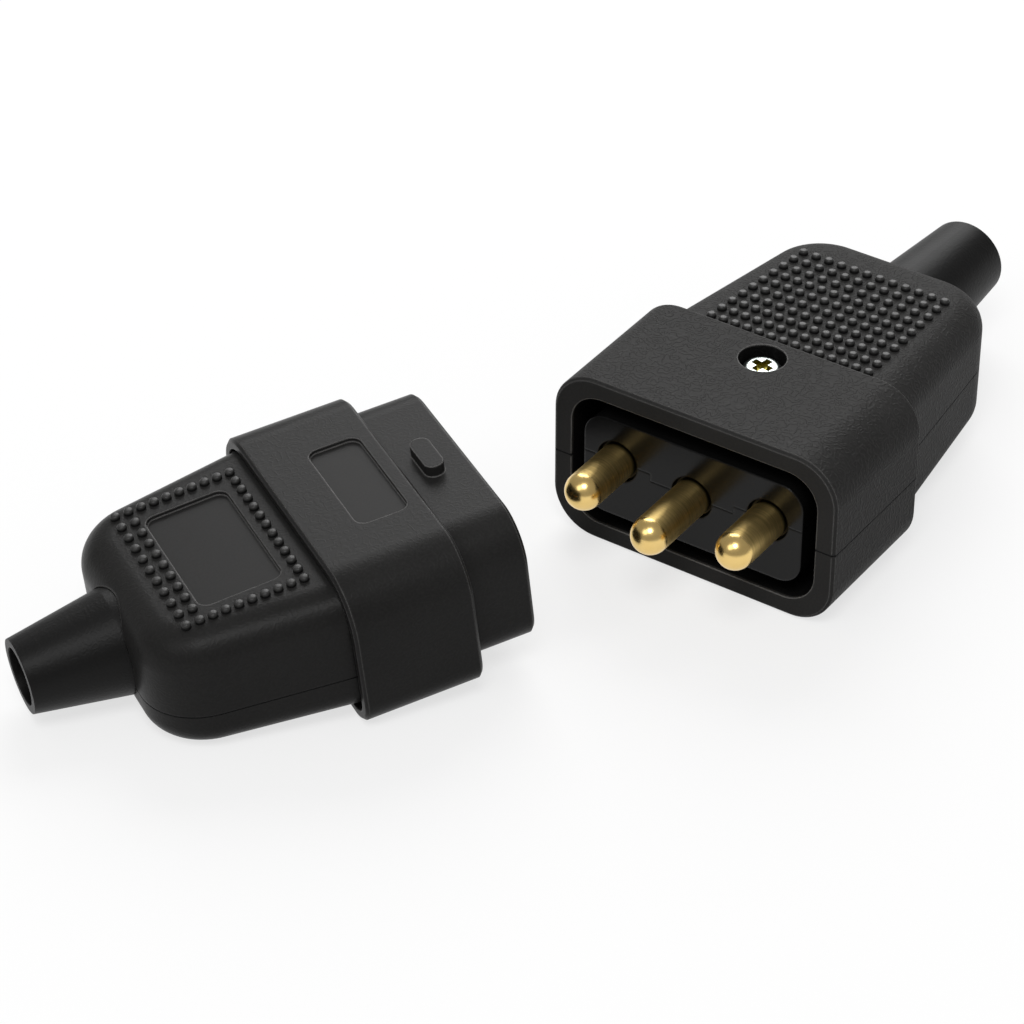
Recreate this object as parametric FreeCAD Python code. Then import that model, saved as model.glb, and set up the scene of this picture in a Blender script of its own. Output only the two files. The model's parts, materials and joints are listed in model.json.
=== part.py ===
import FreeCAD, Part
import math
import os

V = FreeCAD.Vector
ALONG = V(1, 0, 0)
ACROSS = V(0, 1, 0)
UP = V(0, 0, 1)
ORIGIN = V(0, 0, 0)

# Each half has a frame of its own: the mating plane is x = 0, the cable leaves towards +x,
# y runs across the width and the underside lies on z = 0.

# Pins and contacts, shared by both halves
PIN_DIAMETER = 5.1
PIN_SHOULDER = 0.2
PIN_PITCH = 11.2
PIN_RISE = 1.2
EARTH_DROP = 1.1
PIN_REACH = 10.2
EARTH_LEAD = 2.0
PIN_CLEARANCE = 0.1
FLANGE_LIP = 0.75
FLANGE_LENGTH = 1.4
FLANGE_SETBACK = 2.2
TERMINAL_WIDTH = 5.6
TERMINAL_LENGTH = 6.6
WIRE_HOLE_WIDTH = 2.8
WIRE_HOLE_DEPTH = 5.2
CONTACT_WALL = 0.9
CONTACT_SLOT_WIDTH = 0.8
CONTACT_SLOT_LENGTH = 7.0
CONTACT_FLANGE_LIP = 1.1
ROOT_CLEARANCE = 0.25
LEAD_IN_CLEARANCE = 0.5

# Outline of the plug half
PLUG_WIDTH = 42.0
PLUG_HEIGHT = 24.6
PLUG_CORNER = 6.2
SHROUD_LENGTH = 21.0
RIM_SIDE = 2.75
RIM_TOP = 2.7
OPENING_CORNER = 4.5
MOAT_SIDE = 2.0
MOAT_TOP = 2.3
ISLAND_CORNER = 3.3
ISLAND_FRONT = 5.0
ISLAND_WALL = 1.6
MOAT_FLOOR = 2.0
PLUG_PARTING_DROP = 0.6
TONGUE_MARGIN = 0.6
PLUG_STEP_SIDE = 2.5
PLUG_STEP_TOP = 1.4
PLUG_STEP_UNDER = 0.8
PLUG_GRIP_LENGTH = 32.0
PLUG_GRIP_END_WIDTH = 30.0
PLUG_GRIP_FALL = 2.2
PLUG_GRIP_LIFT = 2.0

# Outline of the socket half
SHOULDER_SIDE = 3.0
SHOULDER_TOP = 1.25
COLLAR_LENGTH = 15.8
COLLAR_TOP_CORNER = 7.0
COLLAR_UNDER_CORNER = 4.2
COLLAR_WALL = 1.3
COLLAR_GAP = 0.45
NOSE_LENGTH = 8.6
NOSE_TOP_CORNER = 6.0
NOSE_UNDER_CORNER = 4.3
CONTACT_FACE_THICKNESS = 2.0
CONTACT_LIP = 1.3
CARRIER_WALL = 1.2
CARRIER_CORNER = 3.0
SPIGOT_LENGTH = 8.5
LIP_GAP_DEPTH = 2.5
SPIGOT_WALL = 1.6
SOCKET_PARTING_DROP = 3.0
SOCKET_GRIP_LENGTH = 24.0
SOCKET_GRIP_END_WIDTH = 31.0
SOCKET_GRIP_FALL = 0.9
SOCKET_GRIP_LIFT = 0.6
COLLAR_PANEL_LENGTH = 7.0
COLLAR_PANEL_WIDTH = 16.8
COLLAR_PANEL_FROM_FRONT = 2.1
GRIP_PANEL_LENGTH = 11.0
GRIP_PANEL_WIDTH = 19.8
GRIP_PANEL_FROM_COLLAR = 4.0
PANEL_DEPTH = 0.6
PANEL_CORNER = 1.5
NUB_WIDTH = 6.4
NUB_LENGTH = 2.6
NUB_HEIGHT = 1.6
NUB_FROM_COLLAR = 2.5

# Fits between the halves and between pieces
MATING_CLEARANCE = 0.25
SLIDE_CLEARANCE = 0.15
PARTING_GAP = 0.08
SEAT_GAP = 0.1

# Mouldings
SHELL_WALL = 2.2
GRIP_CORNER = 8.5
GRIP_EDGE = 4.6
GRIP_UNDER_EDGE = 3.4
EDGE_BREAK = 0.4

# Cable sleeve
SLEEVE_DIAMETER = 13.8
SLEEVE_BORE = 7.6
SLEEVE_FLANGE_LENGTH = 1.6
SLEEVE_FLANGE_LIP = 1.6
SLEEVE_FLAT_LIP = 0.3
SLEEVE_RIB = 1.4
SLEEVE_RIB_PLAY = 0.9
PLUG_SLEEVE_LENGTH = 18.5
PLUG_SLEEVE_TIP = 11.2
PLUG_SLEEVE_DROP = 0.9
SOCKET_SLEEVE_LENGTH = 12.3
SOCKET_SLEEVE_TIP = 9.8
SOCKET_SLEEVE_DROP = 0.3

# Cover screws, nuts and cord clamps
COVER_SCREW_DIAMETER = 3.0
COVER_HEAD_DIAMETER = 5.4
COVER_HEAD_LENGTH = 2.0
COVER_HEAD_BEVEL = 0.6
COVER_RECESS_PLAY = 0.45
COVER_RECESS_DEPTH = 3.4
COVER_SCREW_REACH = 5.0
COVER_BOSS_WALL = 1.15
COVER_NUT_FLATS = 5.5
COVER_NUT_LENGTH = 2.4
PLUG_SCREW_FROM_RIM = 16.4
SOCKET_SCREW_FROM_FACE = 24.9
CLAMP_BAR_LENGTH = 4.6
CLAMP_EAR_MARGIN = 2.7
CLAMP_BAR_THICKNESS = 3.0
CLAMP_BAR_OFFSET = 2.2
CLAMP_EAR_THICKNESS = 1.5
CLAMP_SADDLE_WALL = 1.7
CLAMP_HEAD_PLAY = 0.5
CLAMP_FROM_END = 8.0
CLAMP_SCREW_DIAMETER = 2.2
CLAMP_HEAD_DIAMETER = 3.6
CLAMP_HEAD_LENGTH = 1.4
CLAMP_SCREW_LENGTH = 8.0
TERMINAL_SCREW_DIAMETER = 2.0
TERMINAL_SCREW_LENGTH = 3.8

# How the two halves lie beside each other
PLUG_TURN = 30.65
PLUG_FRONT_AHEAD = 49.4
PLUG_FRONT_ASIDE = -8.9

# Sizes that follow from those above
OPENING_WIDTH = PLUG_WIDTH - 2 * RIM_SIDE
OPENING_HEIGHT = PLUG_HEIGHT - 2 * RIM_TOP
ISLAND_WIDTH = OPENING_WIDTH - 2 * MOAT_SIDE
ISLAND_HEIGHT = OPENING_HEIGHT - 2 * MOAT_TOP
NOSE_WIDTH = OPENING_WIDTH - 2 * MATING_CLEARANCE
NOSE_HEIGHT = OPENING_HEIGHT - 2 * MATING_CLEARANCE
NOSE_BORE_WIDTH = ISLAND_WIDTH + 2 * MATING_CLEARANCE
NOSE_BORE_HEIGHT = ISLAND_HEIGHT + 2 * MATING_CLEARANCE
NOSE_BORE_CORNER = ISLAND_CORNER + MATING_CLEARANCE
MOAT_DEPTH = NOSE_LENGTH + 2 * MATING_CLEARANCE
CHAMBER_START = MOAT_DEPTH + MOAT_FLOOR
SOCKET_WIDTH = NOSE_WIDTH + 2 * SHOULDER_SIDE
SOCKET_HEIGHT = NOSE_HEIGHT + 2 * SHOULDER_TOP
PLUG_MIDDLE = PLUG_HEIGHT / 2
SOCKET_MIDDLE = SOCKET_HEIGHT / 2
PLUG_PARTING = PLUG_MIDDLE - PLUG_PARTING_DROP
SOCKET_PARTING = SOCKET_MIDDLE - SOCKET_PARTING_DROP
PLUG_SLEEVE_HEIGHT = PLUG_PARTING - PLUG_SLEEVE_DROP
SOCKET_SLEEVE_HEIGHT = SOCKET_MIDDLE - SOCKET_SLEEVE_DROP
TONGUE_WIDTH = PIN_PITCH + 2 * TONGUE_MARGIN
PLUG_END = SHROUD_LENGTH + PLUG_GRIP_LENGTH
SOCKET_END = COLLAR_LENGTH + SOCKET_GRIP_LENGTH
PIN_ROOT_DIAMETER = PIN_DIAMETER + 2 * PIN_SHOULDER
FLANGE_DIAMETER = PIN_ROOT_DIAMETER + 2 * FLANGE_LIP
CONTACT_DIAMETER = PIN_DIAMETER + PIN_CLEARANCE + 2 * CONTACT_WALL
CONTACT_FLANGE_DIAMETER = CONTACT_DIAMETER + 2 * CONTACT_FLANGE_LIP
CONTACT_FACE = MATING_CLEARANCE
CONTACT_BACK = CONTACT_FACE + CONTACT_FACE_THICKNESS
CARRIER_END = PIN_REACH + EARTH_LEAD + 2 * SEAT_GAP
SPIGOT_BACK = COLLAR_LENGTH - LIP_GAP_DEPTH
SPIGOT_INSET = COLLAR_WALL + SLIDE_CLEARANCE
GRIP_INSET = COLLAR_WALL + COLLAR_GAP
SLEEVE_FLANGE_DIAMETER = SLEEVE_DIAMETER + 2 * SLEEVE_FLANGE_LIP
SLEEVE_FLANGE_HEIGHT = SLEEVE_DIAMETER + 2 * SLEEVE_FLAT_LIP
SLEEVE_RIB_HOLE = SLEEVE_BORE + 2 * SLEEVE_RIB_PLAY
COVER_RECESS_DIAMETER = COVER_HEAD_DIAMETER + 2 * COVER_RECESS_PLAY
COVER_BOSS_DIAMETER = COVER_RECESS_DIAMETER + 2 * COVER_BOSS_WALL
CLAMP_SADDLE_WIDTH = SLEEVE_BORE + 2 * CLAMP_SADDLE_WALL
CLAMP_SCREW_SPACING = CLAMP_SADDLE_WIDTH + CLAMP_HEAD_DIAMETER + 2 * CLAMP_HEAD_PLAY
CLAMP_BAR_WIDTH = CLAMP_SCREW_SPACING + 2 * CLAMP_EAR_MARGIN


def corner_arc(x, y, z, radius, start):
    """Quarter arc in the plane at x, round (y, z), from the given angle."""
    points = []
    for turn in (0, 45, 90):
        angle = math.radians(start + turn)
        points.append(V(x, y + radius * math.cos(angle), z + radius * math.sin(angle)))
    return points


def outline(x, width, height, middle, top_corner, under_corner):
    """Closed rounded rectangle in the plane at x, with one radius above and one below."""
    half = width / 2
    low = middle - height / 2
    high = middle + height / 2
    corners = (
        (half - top_corner, high - top_corner, top_corner, 0),
        (top_corner - half, high - top_corner, top_corner, 90),
        (under_corner - half, low + under_corner, under_corner, 180),
        (half - under_corner, low + under_corner, under_corner, 270),
    )
    arcs = [corner_arc(x, *corner) for corner in corners]
    edges = []
    for arc, following in zip(arcs, arcs[1:] + arcs[:1]):
        edges.append(Part.Arc(*arc).toShape())
        edges.append(Part.makeLine(arc[2], following[0]))
    return Part.Wire(edges)


def block(start, end, width, height, middle, top_corner, under_corner=None):
    """Rounded bar from start to end along the axis."""
    under = top_corner if under_corner is None else under_corner
    face = Part.Face(outline(start, width, height, middle, top_corner, under))
    return face.extrude(ALONG * (end - start))


def rod(start, end, diameter, y, z):
    """Round bar along the axis."""
    return Part.makeCylinder(diameter / 2, end - start, V(start, y, z), ALONG)


def upright(x, y, start, end, diameter):
    """Round upright bar between two heights, given in either order."""
    return Part.makeCylinder(diameter / 2, abs(end - start), V(x, y, min(start, end)), UP)


def slab(x_low, x_high, y_low, y_high, z_low, z_high):
    """Plain box between the given limits."""
    return Part.makeBox(x_high - x_low, y_high - y_low, z_high - z_low, V(x_low, y_low, z_low))


def bevel_face_edges(shape, plane_x):
    """Break every edge that lies in the plane at x."""
    edges = []
    for edge in shape.Edges:
        box = edge.BoundBox
        if abs(box.XMin - plane_x) < 1e-4 and abs(box.XMax - plane_x) < 1e-4:
            edges.append(edge)
    return shape.makeChamfer(EDGE_BREAK, edges)


def grip_form(front, end, widths, lows, highs, corner):
    """Tapered handle with rounded corners at its end."""
    half_front = widths[0] / 2
    half_end = widths[1] / 2
    plan = [V(front, half_front, 0), V(end, half_end, 0), V(end, -half_end, 0), V(front, -half_front, 0)]
    profile = [V(front, 0, lows[0]), V(end, 0, lows[1]), V(end, 0, highs[1]), V(front, 0, highs[0])]
    depth = max(highs)
    reach = max(widths)
    upright = Part.Face(Part.makePolygon(plan + plan[:1])).extrude(UP * depth)
    uprights = [edge for edge in upright.Edges if edge.BoundBox.XMin > end - 1e-3 and edge.BoundBox.ZLength > 1]
    upright = upright.makeFillet(corner, uprights)
    side = Part.Face(Part.makePolygon(profile + profile[:1])).extrude(ACROSS * 2 * reach)
    side.translate(ACROSS * -reach)
    return upright.common(side).Solids[0]


def grip_edges(form, front, end, levels):
    """Edges of a handle's upper or lower face, apart from the one at its front."""
    slope = (levels[1] - levels[0]) / (end - front)
    chain = []
    for edge in form.Edges:
        middle = edge.valueAt((edge.FirstParameter + edge.LastParameter) / 2)
        on_face = abs(middle.z - levels[0] - slope * (middle.x - front)) < 1e-3
        if on_face and middle.x > front + 1e-3:
            chain.append(edge)
    return chain


def contact_places(middle, side):
    """Name, y and z of the three ways; side is 1 in the plug and -1 in the socket it turns over to meet."""
    row = middle + side * PIN_RISE
    return (
        ("live", PIN_PITCH, row),
        ("earth", 0.0, row - side * EARTH_DROP),
        ("neutral", -PIN_PITCH, row),
    )


def hexagon(x, y, start, end, flats):
    """Upright hexagonal bar between two heights."""
    radius = flats / math.sqrt(3)
    points = []
    for corner in range(7):
        angle = math.radians(60 * corner)
        points.append(V(x + radius * math.cos(angle), y + radius * math.sin(angle), start))
    return Part.Face(Part.makePolygon(points)).extrude(UP * (end - start))


def sleeve_flange(start, end, z, play):
    """Disc with flats above and below, which keep the sleeve from turning."""
    disc = rod(start, end, SLEEVE_FLANGE_DIAMETER + 2 * play, 0, z)
    half = SLEEVE_FLANGE_HEIGHT / 2 + play
    return disc.common(slab(start, end, -SLEEVE_FLANGE_DIAMETER, SLEEVE_FLANGE_DIAMETER, z - half, z + half))


def cable_sleeve(end, z, length, tip_diameter):
    """Tapered sleeve whose inner flange is trapped in a groove of the end wall."""
    inner = end - SHELL_WALL - SEAT_GAP
    flange = inner - SLEEVE_FLANGE_LENGTH
    tip = end + length
    profile = [
        V(flange, 0, 0),
        V(flange, 0, SLEEVE_DIAMETER / 2),
        V(end, 0, SLEEVE_DIAMETER / 2),
        V(tip, 0, tip_diameter / 2),
        V(tip, 0, 0),
    ]
    taper = Part.Face(Part.makePolygon(profile + profile[:1])).revolve(ORIGIN, ALONG, 360)
    taper.translate(UP * z)
    sleeve = taper.fuse(sleeve_flange(flange, inner, z, 0)).cut(rod(flange, tip, SLEEVE_BORE, 0, z))
    return sleeve.removeSplitter()


def sleeve_groove(end):
    """Where the groove for the sleeve's flange starts."""
    return end - SHELL_WALL - SLEEVE_FLANGE_LENGTH - 2 * SEAT_GAP


def sleeve_seat(end, z):
    """Room for the sleeve through the end wall, and for the cord through the rib in front of it."""
    groove = sleeve_groove(end)
    neck = rod(groove, end + SHELL_WALL, SLEEVE_DIAMETER + 2 * SEAT_GAP, 0, z)
    flange = sleeve_flange(groove, end - SHELL_WALL, z, SEAT_GAP)
    cord = rod(groove - 2 * SLEEVE_RIB, groove, SLEEVE_RIB_HOLE, 0, z)
    return neck.fuse([flange, cord])


def grip_pair(front, end, widths, lows, highs):
    """Outside of a grip and the hollow inside it, which stops at the rib before the sleeve."""
    outside = grip_form(front, end, widths, lows, highs, GRIP_CORNER)
    outside = outside.makeFillet(GRIP_EDGE, grip_edges(outside, front, end, highs))
    outside = outside.makeFillet(GRIP_UNDER_EDGE, grip_edges(outside, front, end, lows))
    inner_end = end - SHELL_WALL
    inner_widths = [width - 2 * SHELL_WALL for width in widths]
    inner_lows = [low + SHELL_WALL for low in lows]
    inner_highs = [high - SHELL_WALL for high in highs]
    hollow = grip_form(front, inner_end, inner_widths, inner_lows, inner_highs, GRIP_CORNER - SHELL_WALL)
    rib = sleeve_groove(end) - SLEEVE_RIB
    return outside, hollow.cut(slab(rib, end, -widths[0], widths[0], 0, 2 * highs[0]))


def plug_grip():
    width = PLUG_WIDTH - 2 * PLUG_STEP_SIDE
    high = PLUG_HEIGHT - PLUG_STEP_TOP
    widths = (width, PLUG_GRIP_END_WIDTH)
    lows = (PLUG_STEP_UNDER, PLUG_STEP_UNDER + PLUG_GRIP_LIFT)
    highs = (high, high - PLUG_GRIP_FALL)
    return grip_pair(SHROUD_LENGTH - SHELL_WALL, PLUG_END, widths, lows, highs)


def socket_grip():
    width = SOCKET_WIDTH - 2 * GRIP_INSET
    high = SOCKET_HEIGHT - GRIP_INSET
    widths = (width, SOCKET_GRIP_END_WIDTH)
    lows = (GRIP_INSET, GRIP_INSET + SOCKET_GRIP_LIFT)
    highs = (high, high - SOCKET_GRIP_FALL)
    return grip_pair(SPIGOT_BACK, SOCKET_END, widths, lows, highs)


def cover_fastener(x, seat, parting, side):
    """Screw and nut that close the shells; the head lies towards the given side."""
    head_end = seat + side * COVER_HEAD_LENGTH
    head = upright(x, 0, seat, head_end, COVER_HEAD_DIAMETER)
    rim = [edge for edge in head.Edges if abs(edge.BoundBox.Center.z - head_end) < 1e-3]
    head = head.makeChamfer(COVER_HEAD_BEVEL, rim)
    screw = head.fuse(upright(x, 0, seat, parting - side * COVER_SCREW_REACH, COVER_SCREW_DIAMETER))
    nut_face = parting - side * SEAT_GAP
    nut = hexagon(x, 0, nut_face, nut_face - side * COVER_NUT_LENGTH, COVER_NUT_FLATS)
    bore = upright(x, 0, parting, parting - side * COVER_SCREW_REACH, COVER_SCREW_DIAMETER + 2 * PARTING_GAP)
    return screw.removeSplitter(), nut.cut(bore)


def cover_room(x, surface, seat, parting, side):
    """Recess, shank hole and nut pocket of a cover screw."""
    recess = upright(x, 0, seat, surface + side * SHELL_WALL, COVER_RECESS_DIAMETER)
    shank_end = parting - side * (COVER_SCREW_REACH + SEAT_GAP)
    shank = upright(x, 0, seat, shank_end, COVER_SCREW_DIAMETER + 2 * SLIDE_CLEARANCE)
    pocket_end = parting - side * (COVER_NUT_LENGTH + 2 * SEAT_GAP)
    pocket = hexagon(x, 0, parting, pocket_end, COVER_NUT_FLATS + 2 * SEAT_GAP)
    return recess.fuse([shank, pocket])


def clamp_sides():
    """The clamp's two screws, by name."""
    half = CLAMP_SCREW_SPACING / 2
    return (("left", half), ("right", -half))


def cord_clamp(x, axis, side):
    """Saddle that presses on the cord, and the screws that stand in its thin ears."""
    near = axis + side * CLAMP_BAR_OFFSET
    ear = near + side * CLAMP_EAR_THICKNESS
    far = near + side * CLAMP_BAR_THICKNESS
    edge = CLAMP_BAR_WIDTH / 2
    saddle = CLAMP_SADDLE_WIDTH / 2
    steps = [(-edge, near), (edge, near), (edge, ear), (saddle, ear), (saddle, far)]
    steps += [(-saddle, far), (-saddle, ear), (-edge, ear)]
    points = [V(x - CLAMP_BAR_LENGTH / 2, y, z) for y, z in steps]
    bar = Part.Face(Part.makePolygon(points + points[:1])).extrude(ALONG * CLAMP_BAR_LENGTH)
    cuts = [rod(x - CLAMP_BAR_LENGTH, x + CLAMP_BAR_LENGTH, SLEEVE_BORE, 0, axis)]
    screws = {}
    for name, y in clamp_sides():
        cuts.append(upright(x, y, near, ear, CLAMP_SCREW_DIAMETER + 2 * SEAT_GAP))
        head = upright(x, y, ear, ear + side * CLAMP_HEAD_LENGTH, CLAMP_HEAD_DIAMETER)
        shank = upright(x, y, ear, ear - side * CLAMP_SCREW_LENGTH, CLAMP_SCREW_DIAMETER)
        screws[name] = head.fuse(shank).removeSplitter()
    return bar.cut(cuts), screws


def clamp_bed(x, axis, side, wall):
    """Block under a clamp's ears, with a channel for the cord and pilot holes for the screws."""
    top = axis + side * (CLAMP_BAR_OFFSET - SEAT_GAP)
    half = CLAMP_BAR_LENGTH / 2
    edge = CLAMP_BAR_WIDTH / 2
    channel = SLEEVE_BORE / 2
    bed = slab(x - half, x + half, -edge, edge, min(wall, top), max(wall, top))
    cuts = [rod(x - half, x + half, SLEEVE_BORE, 0, axis)]
    cuts.append(slab(x - half, x + half, -channel, channel, min(axis, top), max(axis, top)))
    for name, y in clamp_sides():
        cuts.append(upright(x, y, top, top - side * CLAMP_SCREW_LENGTH, CLAMP_SCREW_DIAMETER + 2 * SEAT_GAP))
    return bed.cut(cuts)


def terminal(start, y, z, side):
    """Box terminal with a square wire hole from behind and a cross hole for its screw."""
    end = start + TERMINAL_LENGTH
    half = TERMINAL_WIDTH / 2
    hole = WIRE_HOLE_WIDTH / 2
    box = slab(start, end, y - half, y + half, z - half, z + half)
    wire = slab(end - WIRE_HOLE_DEPTH, end, y - hole, y + hole, z - hole, z + hole)
    edge = z + side * TERMINAL_WIDTH
    cross = upright(terminal_middle(start), y, z, edge, TERMINAL_SCREW_DIAMETER + 2 * PARTING_GAP)
    return box.cut([wire, cross])


def terminal_middle(start):
    """Where a terminal's screw stands along the axis."""
    return start + TERMINAL_LENGTH - WIRE_HOLE_DEPTH / 2


def terminal_screw(start, y, z, side):
    """Headless screw in a terminal's cross hole, its end in the wire hole."""
    return upright(terminal_middle(start), y, z, z + side * TERMINAL_SCREW_LENGTH, TERMINAL_SCREW_DIAMETER)


def pin(y, z, reach):
    """Turned pin with a domed end, a thicker root, a flange held in the island and a terminal behind it."""
    radius = PIN_DIAMETER / 2
    back = ISLAND_FRONT + SEAT_GAP
    shank = rod(radius - reach, 0, PIN_DIAMETER, y, z)
    dome = Part.makeSphere(radius, V(radius - reach, y, z))
    root = rod(0, back, PIN_ROOT_DIAMETER, y, z)
    flange = rod(FLANGE_SETBACK, FLANGE_SETBACK + FLANGE_LENGTH, FLANGE_DIAMETER, y, z)
    return shank.fuse([dome, root, flange, terminal(back, y, z, 1)]).removeSplitter()


def pin_room(y, z):
    """Hole for a pin's root through the island, with the groove that holds its flange."""
    hole = rod(-SHELL_WALL, ISLAND_FRONT + SHELL_WALL, PIN_ROOT_DIAMETER + 2 * ROOT_CLEARANCE, y, z)
    start = FLANGE_SETBACK - SEAT_GAP
    groove = rod(start, start + FLANGE_LENGTH + 2 * SEAT_GAP, FLANGE_DIAMETER + 2 * SEAT_GAP, y, z)
    return hole.fuse(groove)


def plug_upper_zone():
    """Everything above the plug's parting face, which rises to the pins and drops round the earth pin."""
    reach = PLUG_END + SHELL_WALL
    zone = slab(-SHELL_WALL, reach, -PLUG_WIDTH, PLUG_WIDTH, PLUG_PARTING, 2 * PLUG_HEIGHT)
    row = PLUG_MIDDLE + PIN_RISE
    half = ISLAND_WIDTH / 2 + MOAT_SIDE / 2
    tongue = TONGUE_WIDTH / 2
    steps = [(-half, PLUG_PARTING), (half, PLUG_PARTING), (half, row), (tongue, row), (tongue, row - EARTH_DROP)]
    steps += [(-tongue, row - EARTH_DROP), (-tongue, row), (-half, row)]
    points = [V(-SHELL_WALL, y, z) for y, z in steps]
    saddle = Part.Face(Part.makePolygon(points + points[:1])).extrude(ALONG * (CHAMBER_START + SHELL_WALL))
    return zone.cut(saddle)


def plug_shells():
    """Upper and lower shell: shroud with a moat round the island, stepped grip and seats inside."""
    shroud = block(0, SHROUD_LENGTH, PLUG_WIDTH, PLUG_HEIGHT, PLUG_MIDDLE, PLUG_CORNER)
    shroud = bevel_face_edges(shroud, 0)
    shroud = bevel_face_edges(shroud, SHROUD_LENGTH)
    grip, hollow = plug_grip()
    opening = block(-SHELL_WALL, MOAT_DEPTH, OPENING_WIDTH, OPENING_HEIGHT, PLUG_MIDDLE, OPENING_CORNER)
    island = block(-SHELL_WALL, MOAT_DEPTH, ISLAND_WIDTH, ISLAND_HEIGHT, PLUG_MIDDLE, ISLAND_CORNER)
    island_room = block(
        ISLAND_FRONT, CHAMBER_START, ISLAND_WIDTH - 2 * ISLAND_WALL, ISLAND_HEIGHT - 2 * ISLAND_WALL,
        PLUG_MIDDLE, ISLAND_CORNER - ISLAND_WALL,
    )
    shroud_room = block(
        CHAMBER_START, SHROUD_LENGTH - SHELL_WALL, OPENING_WIDTH, OPENING_HEIGHT, PLUG_MIDDLE, OPENING_CORNER,
    )
    body = shroud.fuse(grip).cut([opening.cut(island), island_room, shroud_room, hollow])
    seat = PLUG_HEIGHT - COVER_RECESS_DEPTH
    roof = PLUG_HEIGHT - PLUG_STEP_TOP - SHELL_WALL / 2
    boss = upright(PLUG_SCREW_FROM_RIM, 0, RIM_TOP / 2, roof, COVER_BOSS_DIAMETER)
    cuts = [pin_room(y, z) for name, y, z in contact_places(PLUG_MIDDLE, 1)]
    cuts.append(cover_room(PLUG_SCREW_FROM_RIM, PLUG_HEIGHT, seat, PLUG_PARTING, 1))
    cuts.append(sleeve_seat(PLUG_END, PLUG_SLEEVE_HEIGHT))
    cuts.append(nub_pocket())
    body = body.fuse(boss).cut(cuts)
    zone = plug_upper_zone()
    lower = body.cut(zone)
    zone.translate(UP * PARTING_GAP)
    upper = body.common(zone)
    clamp_x = PLUG_END - CLAMP_FROM_END
    bed = clamp_bed(clamp_x, PLUG_SLEEVE_HEIGHT, 1, PLUG_STEP_UNDER + PLUG_GRIP_LIFT)
    return upper.removeSplitter(), lower.fuse(bed).removeSplitter()


def nub_pocket():
    """Blind pocket in the lower wall of the plug's opening, where the socket's nub snaps in."""
    start = NUB_FROM_COLLAR - MATING_CLEARANCE
    half = NUB_WIDTH / 2 + MATING_CLEARANCE
    end = start + NUB_LENGTH + 2 * MATING_CLEARANCE
    return slab(start, end, -half, half, RIM_TOP - NUB_HEIGHT, RIM_TOP + MATING_CLEARANCE)


def nub():
    """Raised nub on the nose, rounded at both ends."""
    low = SOCKET_MIDDLE + NOSE_HEIGHT / 2 - NUB_HEIGHT
    end = -NUB_FROM_COLLAR
    solid = slab(end - NUB_LENGTH, end, -NUB_WIDTH / 2, NUB_WIDTH / 2, low, low + 2 * NUB_HEIGHT)
    corners = [edge for edge in solid.Edges if edge.BoundBox.ZLength > NUB_HEIGHT]
    return solid.makeFillet(NUB_LENGTH / 2 - SEAT_GAP, corners)


def panel_recess(start, length, width, surface, slope=0.0):
    """Shallow rounded recess with a bare floor, along a surface that falls by the slope."""
    recess = slab(start, start + length, -width / 2, width / 2, surface - PANEL_DEPTH, surface + PANEL_DEPTH)
    corners = [edge for edge in recess.Edges if edge.BoundBox.ZLength > PANEL_DEPTH]
    recess = recess.makeFillet(PANEL_CORNER, corners)
    recess.rotate(V(start, 0, surface), ACROSS, math.degrees(math.atan(slope)))
    return recess


def front_housing():
    """Collar and nose in one piece, with a contact wall between them and a carrier for the contacts."""
    collar = block(
        0, COLLAR_LENGTH, SOCKET_WIDTH, SOCKET_HEIGHT, SOCKET_MIDDLE, COLLAR_TOP_CORNER, COLLAR_UNDER_CORNER,
    )
    collar = bevel_face_edges(collar, 0)
    collar = bevel_face_edges(collar, COLLAR_LENGTH)
    nose = block(
        -NOSE_LENGTH, CONTACT_FACE, NOSE_WIDTH, NOSE_HEIGHT, SOCKET_MIDDLE, NOSE_TOP_CORNER, NOSE_UNDER_CORNER,
    )
    nose = bevel_face_edges(nose, -NOSE_LENGTH)
    nose_bore = block(
        -NOSE_LENGTH, CONTACT_FACE, NOSE_BORE_WIDTH, NOSE_BORE_HEIGHT, SOCKET_MIDDLE, NOSE_BORE_CORNER,
    )
    collar_room = block(
        CONTACT_BACK, COLLAR_LENGTH, SOCKET_WIDTH - 2 * COLLAR_WALL, SOCKET_HEIGHT - 2 * COLLAR_WALL,
        SOCKET_MIDDLE, COLLAR_TOP_CORNER - COLLAR_WALL, COLLAR_UNDER_CORNER - COLLAR_WALL,
    )
    panel = panel_recess(COLLAR_PANEL_FROM_FRONT, COLLAR_PANEL_LENGTH, COLLAR_PANEL_WIDTH, SOCKET_HEIGHT)
    around = CONTACT_DIAMETER + 2 * SEAT_GAP + 2 * CARRIER_WALL
    middle = SOCKET_MIDDLE - PIN_RISE + EARTH_DROP / 2
    carrier = block(
        CONTACT_BACK, CARRIER_END, 2 * PIN_PITCH + around, EARTH_DROP + around, middle, CARRIER_CORNER,
    )
    bores = []
    for name, y, z in contact_places(SOCKET_MIDDLE, -1):
        bores.append(rod(0, CONTACT_BACK, PIN_DIAMETER + 2 * LEAD_IN_CLEARANCE, y, z))
        bores.append(rod(CONTACT_FACE + CONTACT_LIP, CARRIER_END, CONTACT_DIAMETER + 2 * SEAT_GAP, y, z))
    housing = collar.fuse([nose, nub()]).cut([nose_bore, collar_room, panel])
    return housing.fuse(carrier).cut(bores).removeSplitter()


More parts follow.
